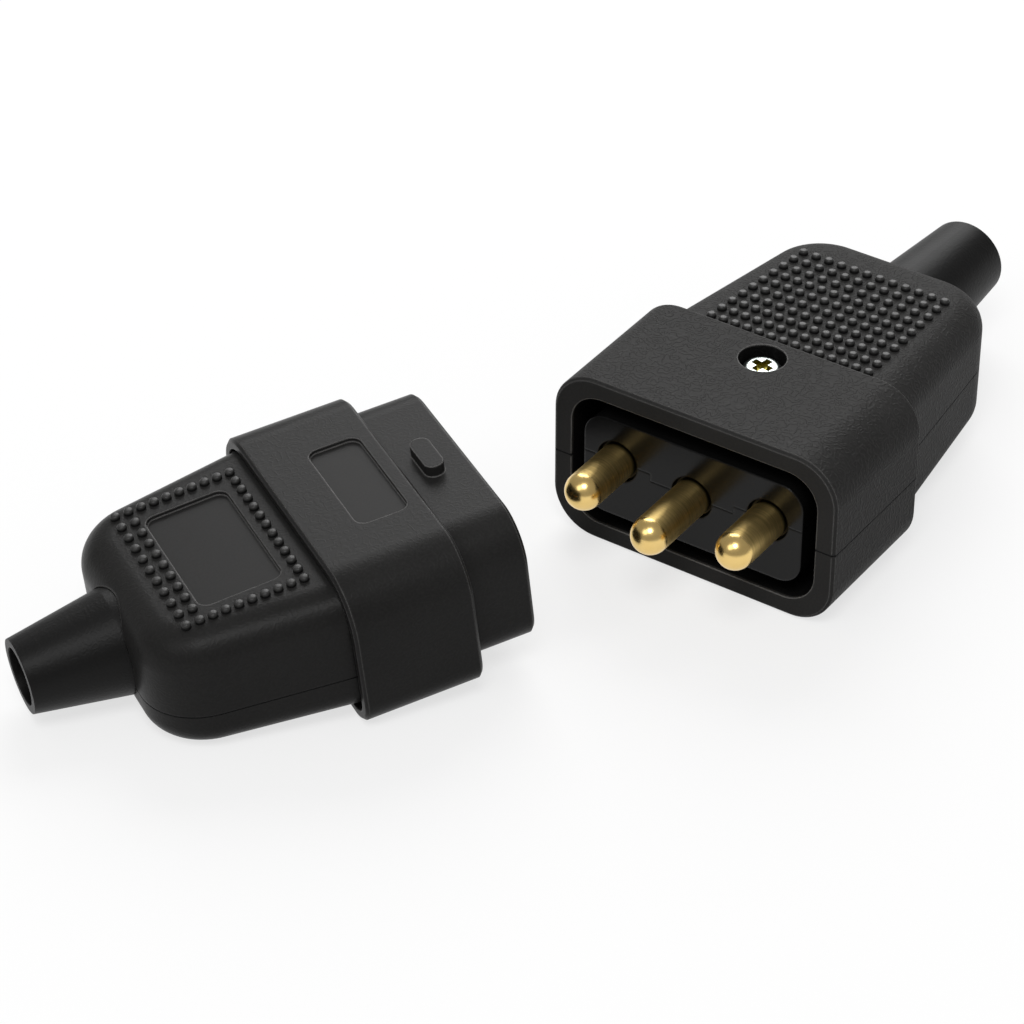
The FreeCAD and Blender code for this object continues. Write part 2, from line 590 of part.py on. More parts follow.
def socket_contact(y, z):
    """Split tube that takes a pin, with a flange behind the carrier and a terminal."""
    start = CONTACT_FACE + CONTACT_LIP + SEAT_GAP
    flange_end = CARRIER_END + SEAT_GAP + FLANGE_LENGTH
    tube = rod(start, CARRIER_END + SEAT_GAP, CONTACT_DIAMETER, y, z)
    flange = rod(CARRIER_END + SEAT_GAP, flange_end, CONTACT_FLANGE_DIAMETER, y, z)
    bore = rod(0, CARRIER_END + 2 * SEAT_GAP, PIN_DIAMETER + 2 * PIN_CLEARANCE, y, z)
    half = CONTACT_SLOT_WIDTH / 2
    slot = slab(0, start + CONTACT_SLOT_LENGTH, y - CONTACT_DIAMETER, y + CONTACT_DIAMETER, z - half, z + half)
    solid = tube.fuse([flange, terminal(flange_end, y, z, -1)])
    return solid.cut([bore, slot]).removeSplitter()


def contact_rib():
    """Rib behind the contact flanges, open below so that the contacts lift in."""
    start = CARRIER_END + 2 * SEAT_GAP + FLANGE_LENGTH
    width = SOCKET_WIDTH - 2 * GRIP_INSET - SHELL_WALL
    rib = slab(start, start + SPIGOT_WALL, -width / 2, width / 2, SOCKET_PARTING, SOCKET_HEIGHT - 2 * GRIP_INSET)
    gap = TERMINAL_WIDTH / 2 + 2 * SEAT_GAP
    for name, y, z in contact_places(SOCKET_MIDDLE, -1):
        rib = rib.cut(slab(start, start + SPIGOT_WALL, y - gap, y + gap, 0, z + gap))
    return rib


def socket_shells():
    """Upper and lower grip shell, with a spigot inside the collar and seats inside."""
    outside, hollow = socket_grip()
    front = SPIGOT_BACK - SPIGOT_LENGTH
    spigot_width = SOCKET_WIDTH - 2 * SPIGOT_INSET
    spigot_height = SOCKET_HEIGHT - 2 * SPIGOT_INSET
    top = COLLAR_TOP_CORNER - SPIGOT_INSET
    under = COLLAR_UNDER_CORNER - SPIGOT_INSET
    spigot = block(front, SPIGOT_BACK, spigot_width, spigot_height, SOCKET_MIDDLE, top, under)
    spigot_room = block(
        front, SPIGOT_BACK, spigot_width - 2 * SPIGOT_WALL, spigot_height - 2 * SPIGOT_WALL,
        SOCKET_MIDDLE, top - SPIGOT_WALL,
    )
    surface = grip_underside(SOCKET_SCREW_FROM_FACE)
    seat = surface + COVER_RECESS_DEPTH
    roof = SOCKET_HEIGHT - GRIP_INSET - SHELL_WALL / 2
    boss = upright(SOCKET_SCREW_FROM_FACE, 0, surface + SHELL_WALL / 2, roof, COVER_BOSS_DIAMETER)
    body = outside.fuse(spigot).cut([hollow, spigot_room]).fuse([boss, contact_rib()])
    slope = SOCKET_GRIP_FALL / (SOCKET_END - SPIGOT_BACK)
    start = COLLAR_LENGTH + GRIP_PANEL_FROM_COLLAR
    top_surface = SOCKET_HEIGHT - GRIP_INSET - slope * (start - SPIGOT_BACK)
    panel = panel_recess(start, GRIP_PANEL_LENGTH, GRIP_PANEL_WIDTH, top_surface, slope)
    cuts = [cover_room(SOCKET_SCREW_FROM_FACE, surface, seat, SOCKET_PARTING, -1)]
    cuts.append(sleeve_seat(SOCKET_END, SOCKET_SLEEVE_HEIGHT))
    cuts.append(panel)
    body = body.cut(cuts)
    zone = slab(0, SOCKET_END, -SOCKET_WIDTH, SOCKET_WIDTH, SOCKET_PARTING, 2 * SOCKET_HEIGHT)
    lower = body.cut(zone)
    zone.translate(UP * PARTING_GAP)
    upper = body.common(zone)
    bed = clamp_bed(SOCKET_END - CLAMP_FROM_END, SOCKET_SLEEVE_HEIGHT, -1, roof - SOCKET_GRIP_FALL)
    return upper.fuse(bed).removeSplitter(), lower.removeSplitter()


def grip_underside(x):
    """Height of the socket grip's underside at x."""
    share = (x - SPIGOT_BACK) / (SOCKET_END - SPIGOT_BACK)
    return GRIP_INSET + SOCKET_GRIP_LIFT * share


def plug_half():
    """Every piece of the plug half by name."""
    upper, lower = plug_shells()
    pieces = {"plug_upper_shell": upper, "plug_lower_shell": lower}
    for name, y, z in contact_places(PLUG_MIDDLE, 1):
        reach = PIN_REACH + (EARTH_LEAD if name == "earth" else 0)
        pieces["plug_pin_" + name] = pin(y, z, reach)
        pieces["plug_terminal_screw_" + name] = terminal_screw(ISLAND_FRONT + SEAT_GAP, y, z, 1)
    seat = PLUG_HEIGHT - COVER_RECESS_DEPTH
    screw, nut = cover_fastener(PLUG_SCREW_FROM_RIM, seat, PLUG_PARTING, 1)
    bar, clamp_screws = cord_clamp(PLUG_END - CLAMP_FROM_END, PLUG_SLEEVE_HEIGHT, 1)
    pieces["plug_cover_screw"] = screw
    pieces["plug_cover_nut"] = nut
    pieces["plug_cord_clamp"] = bar
    for name, solid in clamp_screws.items():
        pieces["plug_clamp_screw_" + name] = solid
    pieces["plug_cable_sleeve"] = cable_sleeve(PLUG_END, PLUG_SLEEVE_HEIGHT, PLUG_SLEEVE_LENGTH, PLUG_SLEEVE_TIP)
    return pieces


def socket_half():
    """Every piece of the socket half by name."""
    upper, lower = socket_shells()
    pieces = {"socket_front_housing": front_housing(), "socket_upper_grip": upper, "socket_lower_grip": lower}
    terminal_start = CARRIER_END + SEAT_GAP + FLANGE_LENGTH
    for name, y, z in contact_places(SOCKET_MIDDLE, -1):
        pieces["socket_contact_" + name] = socket_contact(y, z)
        pieces["socket_terminal_screw_" + name] = terminal_screw(terminal_start, y, z, -1)
    seat = grip_underside(SOCKET_SCREW_FROM_FACE) + COVER_RECESS_DEPTH
    screw, nut = cover_fastener(SOCKET_SCREW_FROM_FACE, seat, SOCKET_PARTING, -1)
    bar, clamp_screws = cord_clamp(SOCKET_END - CLAMP_FROM_END, SOCKET_SLEEVE_HEIGHT, -1)
    pieces["socket_cover_screw"] = screw
    pieces["socket_cover_nut"] = nut
    pieces["socket_cord_clamp"] = bar
    for name, solid in clamp_screws.items():
        pieces["socket_clamp_screw_" + name] = solid
    socket_sleeve = (SOCKET_SLEEVE_LENGTH, SOCKET_SLEEVE_TIP)
    pieces["socket_cable_sleeve"] = cable_sleeve(SOCKET_END, SOCKET_SLEEVE_HEIGHT, *socket_sleeve)
    return pieces


def lay_socket(pieces):
    """Lay the socket half on the rear edge of its collar and the heel of its grip, nose along +x."""
    heel_x = SOCKET_END - GRIP_UNDER_EDGE
    heel_z = grip_underside(heel_x) + GRIP_UNDER_EDGE
    pivot = V(COLLAR_LENGTH - EDGE_BREAK, 0, 0)
    run = heel_x - pivot.x
    lean = math.atan2(heel_z, run) - math.asin(GRIP_UNDER_EDGE / math.hypot(run, heel_z))
    for solid in pieces.values():
        solid.translate(pivot * -1)
        solid.rotate(ORIGIN, ACROSS, math.degrees(lean))
        solid.rotate(ORIGIN, UP, 180)


def lay_plug(pieces):
    """Lay the plug half flat on its shroud, turned beside the socket half."""
    for solid in pieces.values():
        solid.rotate(ORIGIN, UP, PLUG_TURN)
        solid.translate(V(PLUG_FRONT_AHEAD, PLUG_FRONT_ASIDE, 0))


def centre(pieces):
    """Bring the middle of the pair over the origin."""
    box = Part.makeCompound(list(pieces.values())).optimalBoundingBox(False, False)
    for solid in pieces.values():
        solid.translate(V(-box.Center.x, -box.Center.y, 0))


def build():
    plug = plug_half()
    socket = socket_half()
    lay_plug(plug)
    lay_socket(socket)
    pieces = {node: shape.Solids[0] for node, shape in {**plug, **socket}.items()}
    centre(pieces)
    return pieces


if __name__ == "__main__":
    os.makedirs("parts", exist_ok=True)
    for node, shape in build().items():
        shape.exportStep("parts/" + node + ".step")
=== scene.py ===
import json
import math
import bmesh
import bpy
from mathutils import Matrix, Vector


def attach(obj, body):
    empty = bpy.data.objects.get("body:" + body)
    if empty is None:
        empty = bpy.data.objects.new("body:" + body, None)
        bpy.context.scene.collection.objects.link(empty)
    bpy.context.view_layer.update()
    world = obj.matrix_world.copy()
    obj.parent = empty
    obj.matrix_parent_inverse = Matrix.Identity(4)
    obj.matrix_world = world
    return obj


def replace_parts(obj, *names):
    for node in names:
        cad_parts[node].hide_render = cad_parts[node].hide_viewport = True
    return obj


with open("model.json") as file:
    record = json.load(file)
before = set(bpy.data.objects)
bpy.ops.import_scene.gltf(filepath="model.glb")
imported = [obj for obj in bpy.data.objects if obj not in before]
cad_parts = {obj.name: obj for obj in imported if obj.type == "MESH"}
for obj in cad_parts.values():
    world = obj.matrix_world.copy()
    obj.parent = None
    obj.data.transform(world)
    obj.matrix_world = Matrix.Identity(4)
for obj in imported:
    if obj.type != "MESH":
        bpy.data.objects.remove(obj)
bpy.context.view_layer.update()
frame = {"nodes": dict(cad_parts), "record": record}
nodes = frame["nodes"]
mounts = {mount["name"]: mount for mount in frame["record"]["mounts"]}
MM = 0.001

# Points closer than this are one, in a half's own millimetres and in the row's metres
MERGE_MM = 1e-4
MERGE_M = 1e-7

# Each half has its own frame in millimetres: x towards the cable, y across, z up from its
# underside. The middle of each cable sleeve is known in that frame, and its place in the row is
# a mount.
PLUG_SLEEVE_MIDDLE = (62.25, 0, 10.8)
SOCKET_SLEEVE_MIDDLE = (45.95, 0, 10.3)


def half_frame(mount_name, own_place):
    """Matrix from a half's own millimetres to the row's metres."""
    mount = mounts[mount_name]
    along = Vector(mount["axis"]).normalized()
    across = Vector((0, 0, 1)).cross(along).normalized()
    up = along.cross(across)
    turn = Matrix((along, across, up)).transposed().to_4x4()
    shift = Vector(mount["pos_m"]) - turn @ (Vector(own_place) * MM)
    return Matrix.Translation(shift) @ turn @ Matrix.Scale(MM, 4)


PLUG = half_frame("plug_cable_entry", PLUG_SLEEVE_MIDDLE)
SOCKET = half_frame("socket_cable_entry", SOCKET_SLEEVE_MIDDLE)

# Heights of the seams, and seats of the cover screws' heads
PLUG_SEAM = 11.74
SOCKET_SEAM = 7.64
PLUG_SCREW_SEAT = (16.4, 0, 21.2)
SOCKET_SCREW_SEAT = (24.9, 0, 5.413)

# Top faces of the grips: where each starts, how high it is there and how it falls
PLUG_TOP = (18.8, 23.2, 2.2 / 34.2)
SOCKET_TOP = (13.3, 19.45, 0.9 / 26.5)

# Boxes, each by two corners: the plug's rim, moat, screw well and island, the socket's panels
PLUG_RIM = ((-9.0, -22.0, -1.0), (0.25, 22.0, 26.0))
PLUG_MOAT = ((0.45, -18.45, 2.45), (10.5, 18.45, 22.15))
PLUG_WELL = ((13.2, -3.2, 20.5), (19.6, 3.2, 24.35))
PLUG_ISLAND = ((-9.0, -16.75, 4.45), (4.8, 16.75, 20.15))
GRIP_PANEL = ((19.8, -9.9, 10.0), (30.8, 9.9, 30.0))
COLLAR_PANEL = ((2.1, -8.4, 10.0), (9.1, 8.4, 30.0))
BOX_BLUR = 0.1

# Pins: (y, z, length of the shank ahead of the mating plane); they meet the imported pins' roots
# behind that plane and overlap them a little
PIN_PLACES = {
    "live": (11.2, 13.5, 7.65),
    "earth": (0.0, 12.4, 9.65),
    "neutral": (-11.2, 13.5, 7.65),
}
PIN_RADIUS = 2.55
PIN_ENTRY = 0.5
PIN_OVERLAP = 0.2
PIN_STEPS = 48
DOME_STEPS = 18

# Cover screws, measured up from the head's seat
SCREW_HEAD = 2.4
SCREW_FACE = SCREW_HEAD - 0.1
SCREW_FACE_RADIUS = 1.75
SCREW_HEAD_RADIUS = 2.68
SCREW_SHANK_RADIUS = 1.5
SCREW_STEPS = 36
PLUG_SCREW_SHANK = 14.4
SOCKET_SCREW_SHANK = 7.1
CROSS_REACH = 1.5
CROSS_HALF_WIDTH = 0.5
CROSS_DEPTH = 0.7
CROSS_FLOOR_SCALE = 0.8
CROSS_TURN = math.radians(-11)
DOME_STARTS = 1.8

# The curled grain: size of its hills and how many contour lines they carry
CURL_SCALE = 1.2
CURL_LINES = 18.5
GRAIN_DEPTH = 0.04

# Where masks start and where they are full: turn of the eased normal at an edge, and millimetres
# from a seam, above a button's foot, along a pin's root, and into and across a cross recess
EDGE_TURN = (0.03, 0.2)
SEAM_CLEAR = (0.1, 0.4)
SEAM_LINE = (0.06, 0.2)
FOOT_HEIGHT = (0.15, 0.5)
PIN_ROOT_FADE = (-0.4, 0.3)
RECESS_BELOW = (0.02, 0.1)
RECESS_REACH = (1.62, 1.7)

# Tones of a black moulding, against its shade
DARK_TONE = 0.45
PALE_TONE = 1.3
# The edge tone is a painted highlight along eased edges
EDGE_HIGHLIGHT_TONE = 8.5
SEAM_TONE = 0.25
# The foot tone is painted shade where a button meets its top face
FOOT_SHADE_TONE = 0.08
# The recess tone is painted shade in the plug's moat and screw well
RECESS_SHADE_TONE = 0.15

# Colours of the metals
BRUSHED_DARK = (0.54, 0.385, 0.13, 1)
BRUSHED_PALE = (0.94, 0.69, 0.28, 1)
POLISHED_DARK = (0.82, 0.57, 0.2, 1)
POLISHED_PALE = (0.9, 0.66, 0.27, 1)
# Painted shade of a pin where it enters the island
PIN_ROOT_SHADE = (0.02, 0.014, 0.006, 1)
DRAWN_DARK = (0.42, 0.29, 0.11, 1)
DRAWN_PALE = (0.72, 0.53, 0.24, 1)
ZINC_DARK = (0.6, 0.66, 0.64, 1)
ZINC_PALE = (0.74, 0.8, 0.77, 1)
# Yellow tint of a screw's cross recess, darkened with painted shade
RECESS_TINT_AND_SHADE = (0.32, 0.28, 0.06, 1)


class Wire:
    """A socket in a node tree; arithmetic on it adds Math nodes."""

    def __init__(self, tree, socket=None):
        self.tree = tree
        self.socket = socket

    def node(self, kind, settings=None, inputs=None, output=0):
        """Adds one node: its settings first, then the values or links of its sockets."""
        made = self.tree.nodes.new(kind)
        for name, value in (settings or {}).items():
            setattr(made, name, value)
        for name, value in (inputs or {}).items():
            if isinstance(value, Wire):
                self.tree.links.new(value.socket, made.inputs[name])
            else:
                made.inputs[name].default_value = value
        return Wire(self.tree, made.outputs[output] if made.outputs else None)

    def other(self, output):
        """Another output of the same node."""
        return Wire(self.tree, self.socket.node.outputs[output])

    def maths(self, operation, first, second=0.0, clamp=False):
        settings = {"operation": operation, "use_clamp": clamp}
        return self.node("ShaderNodeMath", settings, {0: first, 1: second})

    def vectors(self, operation, first, second, output=0):
        settings = {"operation": operation}
        return self.node("ShaderNodeVectorMath", settings, {0: first, 1: second}, output)

    def __add__(self, other):
        return self.maths("ADD", self, other)

    def __radd__(self, other):
        return self.maths("ADD", other, self)

    def __sub__(self, other):
        return self.maths("SUBTRACT", self, other)

    def __rsub__(self, other):
        return self.maths("SUBTRACT", other, self)

    def __mul__(self, other):
        return self.maths("MULTIPLY", self, other)

    def __rmul__(self, other):
        return self.maths("MULTIPLY", other, self)

    def __abs__(self):
        return self.maths("ABSOLUTE", self)

    def held(self):
        """The same value kept between nought and one."""
        return self.maths("ADD", self, 0.0, True)

    def sine(self):
        return self.maths("SINE", self)

    def ramp(self, low, high, start=0.0, end=1.0):
        """Goes smoothly from start to end as the value passes from low to high."""
        settings = {"interpolation_type": "SMOOTHSTEP"}
        inputs = {0: self, 1: low, 2: high, 3: start, 4: end}
        return self.node("ShaderNodeMapRange", settings, inputs)

    def blend(self, colour, other):
        """Colour where the value is nought, the other colour where it is one."""
        settings = {"data_type": "RGBA", "clamp_factor": True}
        return self.node("ShaderNodeMix", settings, {0: self, 6: colour, 7: other}, 2)


class Finish(Wire):
    """A material that is being mixed, its patterns in a half's own millimetres."""

    def __init__(self, name, half=None):
        self.material = bpy.data.materials.new(name)
        self.material.use_nodes = True
        super().__init__(self.material.node_tree)
        self.tree.nodes.clear()
        if half is not None:
            self.place = self.own_place(half)

    def own_place(self, half):
        """Object coordinates brought into the half's own frame."""
        shift, turn, size = half.decompose()
        seen = self.node("ShaderNodeTexCoord", output="Object")
        inputs = {"Vector": seen, "Location": shift, "Rotation": turn.to_euler(), "Scale": size}
        return self.node("ShaderNodeMapping", {"vector_type": "TEXTURE"}, inputs, "Vector")

    def axes(self):
        """The half's own x, y and z in millimetres."""
        x = self.node("ShaderNodeSeparateXYZ", None, {0: self.place})
        return x, x.other(1), x.other(2)

    def within(self, low, high):
        """One inside a box of the half's own frame, nought outside it."""
        sides = []
        for axis, start, end in zip(self.axes(), low, high):
            reach = (end - start) / 2
            away = abs(axis - (start + end) / 2)
            sides.append(away.ramp(reach - BOX_BLUR, reach + BOX_BLUR, 1.0, 0.0))
        return sides[0] * sides[1] * sides[2]

    def stretched(self, scale):
        """Place for a pattern that is drawn out along the axes with a small scale."""
        return self.vectors("MULTIPLY", self.place, scale)

    def noise(self, scale, detail, rough, place=None):
        inputs = {"Scale": scale, "Detail": detail, "Roughness": rough}
        inputs["Vector"] = place or self.place
        return self.node("ShaderNodeTexNoise", {"noise_dimensions": "3D"}, inputs)

    def curls(self):
        """Curled lines of a grained mould: contour lines of smooth hills."""
        hills = self.noise(CURL_SCALE, detail=0.0, rough=0.5)
        return (hills * CURL_LINES).sine().ramp(-0.2, 1.0)

    def rounded(self, radius):
        """Normal with every edge eased by a small radius in millimetres."""
        return self.node("ShaderNodeBevel", {"samples": 4}, {"Radius": radius * MM})

    def edge(self, eased):
        """Nought on flat ground, one along the edges."""
        flat = self.node("ShaderNodeNewGeometry", output="Normal")
        match = self.vectors("DOT_PRODUCT", eased, flat, "Value")
        return (1.0 - match).ramp(*EDGE_TURN)

    def relief(self, height, depth, strength, normal=None):
        """Bump of the given depth in millimetres."""
        inputs = {"Height": height, "Distance": depth * MM, "Strength": strength}
        if normal:
            inputs["Normal"] = normal
        return self.node("ShaderNodeBump", None, inputs)

    def shader(self, **values):
        """A surface with the named values, an underscore standing for a space."""
        inputs = {name.replace("_", " "): value for name, value in values.items()}
        return self.node("ShaderNodeBsdfPrincipled", None, inputs)

    def done(self, shader):
        self.node("ShaderNodeOutputMaterial", None, {"Surface": shader})
        return self.material


def grey(value, warm=0.0):
    return (value * (1 + warm), value, value * (1 - warm), 1)


def black_moulding(
    name, half, grain, roughness, easing, shade, gloss_level,
    seam=None, plain=(), shaded_recesses=(), island=None, top=None,
):
    """Satin black moulding with a curled grain, a painted highlight along its edges and dark
    along its seam.

    The grain leaves out the plain boxes, shaded recesses get painted shade, the island is smooth
    and glossy, and buttons that stand on a top face get painted shade at the foot.
    """
    f = Finish(name, half)
    x, _, z = f.axes()
    curls = f.curls()
    for low, high in plain:
        curls = curls * (1.0 - f.within(low, high))
    fine = f.noise(scale=3.2, detail=3.0, rough=0.6)
    patchy = f.noise(scale=0.09, detail=2.0, rough=0.5)
    eased = f.rounded(easing)
    edge = f.edge(eased)
    tone = (fine * 0.5 + patchy * 0.5 + curls * 0.08).held()
    ground = tone.blend(grey(DARK_TONE * shade, 0.03), grey(PALE_TONE * shade, 0.02))
    if seam:
        edge = edge * abs(z - seam).ramp(*SEAM_CLEAR)
    # Painted highlight: the eased edges are lightened
    colour = edge.blend(ground, grey(EDGE_HIGHLIGHT_TONE * shade, 0.02))
    if seam:
        colour = abs(z - seam).ramp(*SEAM_LINE).blend(grey(SEAM_TONE * shade), colour)
    normal = f.relief(fine * 0.5 + curls, GRAIN_DEPTH * grain, 0.9, eased)
    rough = roughness + fine * 0.1 + patchy * 0.1 - edge * 0.12
    if top:
        start, height, slope = top
        # Painted shade at the foot of each button, where it meets the top face
        foot = (z - height + (x - start) * slope).ramp(*FOOT_HEIGHT, 1.0, 0.0)
        colour = foot.blend(colour, grey(FOOT_SHADE_TONE * shade))
        rough = rough + foot * 0.4
    # Painted shade darkens the recess boxes, whose roughness also rises
    for low, high in shaded_recesses:
        deep = f.within(low, high)
        colour = deep.blend(colour, grey(RECESS_SHADE_TONE * shade))
        rough = rough + deep * 0.25
    shell = f.shader(
        Base_Color=colour, Roughness=rough, Normal=normal, Specular_IOR_Level=gloss_level,
    )
    if not island:
        return f.done(shell)
    gloss = f.shader(
        Base_Color=fine.blend(grey(0.003), grey(0.0055)),
        Roughness=0.14 + fine * 0.12,
        Normal=f.relief(fine, 0.008, 0.4, eased),
        Specular_IOR_Level=0.2,
    )
    mixed = f.node("ShaderNodeMixShader", None, {0: f.within(*island), 1: shell, 2: gloss})
    return f.done(mixed)


def sleeve_rubber(name, half, shade):
    """Smooth satin sleeve with faint rings from turning its mould."""
    f = Finish(name, half)
    rings = f.noise(scale=1.0, detail=2.0, rough=0.5, place=f.stretched((2.6, 0.12, 0.12)))
    fine = f.noise(scale=4.5, detail=3.0, rough=0.6)
    curls = f.curls()
    eased = f.rounded(0.3)
    edge = f.edge(eased)
    tone = (fine * 0.4 + rings * 0.35).held()
    ground = tone.blend(grey(0.6 * shade, 0.03), grey(1.3 * shade, 0.02))
    # Painted highlight: the eased edges of the sleeve are lightened
    colour = edge.blend(ground, grey(3.5 * shade, 0.02))
    normal = f.relief(rings * 0.6 + fine * 0.5 + curls * 0.35, 0.03, 0.7, eased)
    return f.done(f.shader(
        Base_Color=colour, Roughness=0.38 + fine * 0.12, Normal=normal,
        Specular_IOR_Level=20 * shade,
    ))


def turned_brass(name, half, dome_end):
    """Brass pin: polished dome, duller shank with turning marks, painted shade as it enters the
    island.
    """
    f = Finish(name, half)
    x = f.axes()[0]
    shank = x.ramp(dome_end - 0.02, dome_end + 0.06)
    marks = f.noise(scale=1.0, detail=4.0, rough=0.7, place=f.stretched((4.6, 0.2, 0.2)))
    coarse = f.noise(scale=1.0, detail=2.0, rough=0.5, place=f.stretched((0.9, 0.3, 0.3)))
    tarnish = f.noise(scale=0.7, detail=3.0, rough=0.55)
    worn = (marks * 2.0 + coarse * 0.25 - 0.6).held()
    brushed = worn.blend(BRUSHED_DARK, BRUSHED_PALE)
    polished = tarnish.blend(POLISHED_DARK, POLISHED_PALE)
    # Painted shade: the pin goes dark at its root and behind the mating plane
    colour = x.ramp(*PIN_ROOT_FADE).blend(shank.blend(polished, brushed), PIN_ROOT_SHADE)
    rough = 0.22 + tarnish * 0.06 + shank * (0.07 + marks * 0.1)
    normal = f.relief(marks * shank, 0.007, 0.7)
    return f.done(f.shader(Base_Color=colour, Metallic=1.0, Roughness=rough, Normal=normal))


def contact_brass(name, half):
    """Plain drawn brass of the contacts."""
    f = Finish(name, half)
    drawn = f.noise(scale=1.0, detail=3.0, rough=0.6, place=f.stretched((0.5, 5.0, 5.0)))
    tarnish = f.noise(scale=0.6, detail=3.0, rough=0.55)
    colour = (drawn * 0.5 + tarnish * 0.5).held().blend(DRAWN_DARK, DRAWN_PALE)
    rough = 0.24 + tarnish * 0.16
    normal = f.relief(drawn, 0.015, 0.5, f.rounded(0.15))
    return f.done(f.shader(Base_Color=colour, Metallic=1.0, Roughness=rough, Normal=normal))


def zinc_plate(name, half, face_middle=None):
    """Bright zinc plate; the cross recess in a cover screw's face keeps a yellow tint, darkened
    with painted shade.
    """
    f = Finish(name, half)
    cloud = f.noise(scale=1.1, detail=3.0, rough=0.6)
    fine = f.noise(scale=9.0, detail=2.0, rough=0.6)
    colour = cloud.blend(ZINC_DARK, ZINC_PALE)
    if face_middle:
        away = f.vectors("DISTANCE", f.place, face_middle, "Value")
        below = abs(f.axes()[2] - face_middle[2])
        deep = below.ramp(*RECESS_BELOW) * away.ramp(*RECESS_REACH, 1.0, 0.0)
        # The cross recess gets a yellow tint and painted shade
        colour = deep.blend(colour, RECESS_TINT_AND_SHADE)
    rough = 0.2 + cloud * 0.16
    normal = f.relief(fine, 0.01, 0.4, f.rounded(0.12))
    return f.done(f.shader(Base_Color=colour, Metallic=1.0, Roughness=rough, Normal=normal))


def inner_moulding(name, half):
    """Plain dark moulding of the cord clamps."""
    f = Finish(name, half)
    fine = f.noise(scale=2.5, detail=3.0, rough=0.6)
    colour = fine.blend(grey(0.05), grey(0.09))
    normal = f.relief(fine, 0.03, 0.5, f.rounded(0.2))
    return f.done(f.shader(Base_Color=colour, Roughness=0.5 + fine * 0.15, Normal=normal))


SOCKET_SKIN = {"grain": 0.18, "roughness": 0.25, "easing": 0.35}
# The buttons' shade is paler than the socket grip's: painted light standing in for their lit tops
BUTTON_SKIN = {
    "grain": 0.15, "roughness": 0.27, "easing": 0.08, "shade": 0.034, "gloss_level": 0.3,
}
shell_black = black_moulding(
    "plug_shell_black", PLUG, grain=1.6, roughness=0.41, easing=0.35, shade=0.033,
    gloss_level=0.06, seam=PLUG_SEAM, plain=[PLUG_RIM], shaded_recesses=[PLUG_MOAT, PLUG_WELL],
    island=PLUG_ISLAND,
)
grip_black = black_moulding(
    "socket_grip_black", SOCKET, **SOCKET_SKIN, shade=0.022, gloss_level=0.08,
    seam=SOCKET_SEAM, plain=[GRIP_PANEL],
)
collar_black = black_moulding(
    "socket_collar_black", SOCKET, **SOCKET_SKIN, shade=0.023, gloss_level=0.07,
    plain=[COLLAR_PANEL],
)
bump_black = black_moulding("plug_bump_black", PLUG, **BUTTON_SKIN, top=PLUG_TOP)
bead_black = black_moulding("socket_bead_black", SOCKET, **BUTTON_SKIN, top=SOCKET_TOP)
finishes = {
    "plug_upper_shell": shell_black,
    "plug_lower_shell": shell_black,
    "socket_front_housing": collar_black,
    "socket_upper_grip": grip_black,
    "socket_lower_grip": grip_black,
    "plug_cable_sleeve": sleeve_rubber("plug_sleeve_rubber", PLUG, shade=0.006),
    "socket_cable_sleeve": sleeve_rubber("socket_sleeve_rubber", SOCKET, shade=0.008),
    "plug_cord_clamp": inner_moulding("plug_clamp_moulding", PLUG),
    "socket_cord_clamp": inner_moulding("socket_clamp_moulding", SOCKET),
}
tube_brass = contact_brass("contact_brass", SOCKET)
plug_zinc = zinc_plate("plug_zinc", PLUG)
socket_zinc = zinc_plate("socket_zinc", SOCKET)
for way in PIN_PLACES:
    finishes["socket_contact_" + way] = tube_brass
for name, obj in nodes.items():
    zinc = plug_zinc if name.startswith("plug") else socket_zinc
    obj.data.materials.clear()
    obj.data.materials.append(finishes.get(name, zinc))


def put(name, data):
    """Puts a new object with the given data into the scene."""
    made = bpy.data.objects.new(name, data)
    bpy.context.scene.collection.objects.link(made)
    return made


def as_data(name, mesh):
    """Turns a finished bmesh into mesh data."""
    data = bpy.data.meshes.new(name)
    mesh.to_mesh(data)
    mesh.free()
    return data


def finish_piece(name, mesh, half, material):
    """Makes a piece of a shape drawn in a half's own frame."""
    bmesh.ops.remove_doubles(mesh, verts=mesh.verts, dist=MERGE_MM)
    bmesh.ops.recalc_face_normals(mesh, faces=mesh.faces)
    bmesh.ops.transform(mesh, matrix=half, verts=mesh.verts)
    data = as_data(name, mesh)
    data.materials.append(material)
    piece = put(name, data)
    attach(piece, "root")
    return piece


def everything(mesh):
    return mesh.verts[:] + mesh.edges[:] + mesh.faces[:]


def verts_in(geometry):
    return [item for item in geometry if isinstance(item, bmesh.types.BMVert)]


def edges_in(geometry):
    return [item for item in geometry if isinstance(item, bmesh.types.BMEdge)]


def spun(mesh, profile, steps):
    """Turns a profile of (radius, height) points round the z axis; returns the new vertices."""
    verts = [mesh.verts.new((radius, 0, height)) for radius, height in profile]
    edges = [mesh.edges.new(pair) for pair in zip(verts, verts[1:])]
    old = set(mesh.verts) - set(verts)
    bmesh.ops.spin(
        mesh, geom=verts + edges, cent=(0, 0, 0), axis=(0, 0, 1), angle=2 * math.pi,
        steps=steps, use_merge=True,
    )
    made = [vert for vert in mesh.verts if vert not in old]
    bmesh.ops.remove_doubles(mesh, verts=made, dist=MERGE_MM)
    return [vert for vert in mesh.verts if vert not in old]


def pin_profile(shank):
    """Dome and shank, as (radius, distance ahead of the mating plane).

    The rings close behind the dome and ahead of the foot keep the shank's shading straight.
    """
    turns = [math.radians(90 * i / DOME_STEPS) for i in range(DOME_STEPS + 1)]
    dome = [(PIN_RADIUS * math.sin(a), shank + PIN_RADIUS * math.cos(a)) for a in turns]
    foot = -PIN_ENTRY - PIN_OVERLAP
    sides = [(PIN_RADIUS, height) for height in (shank - 0.3, foot + 0.05, foot)]
    return dome + sides + [(0.0, foot)]


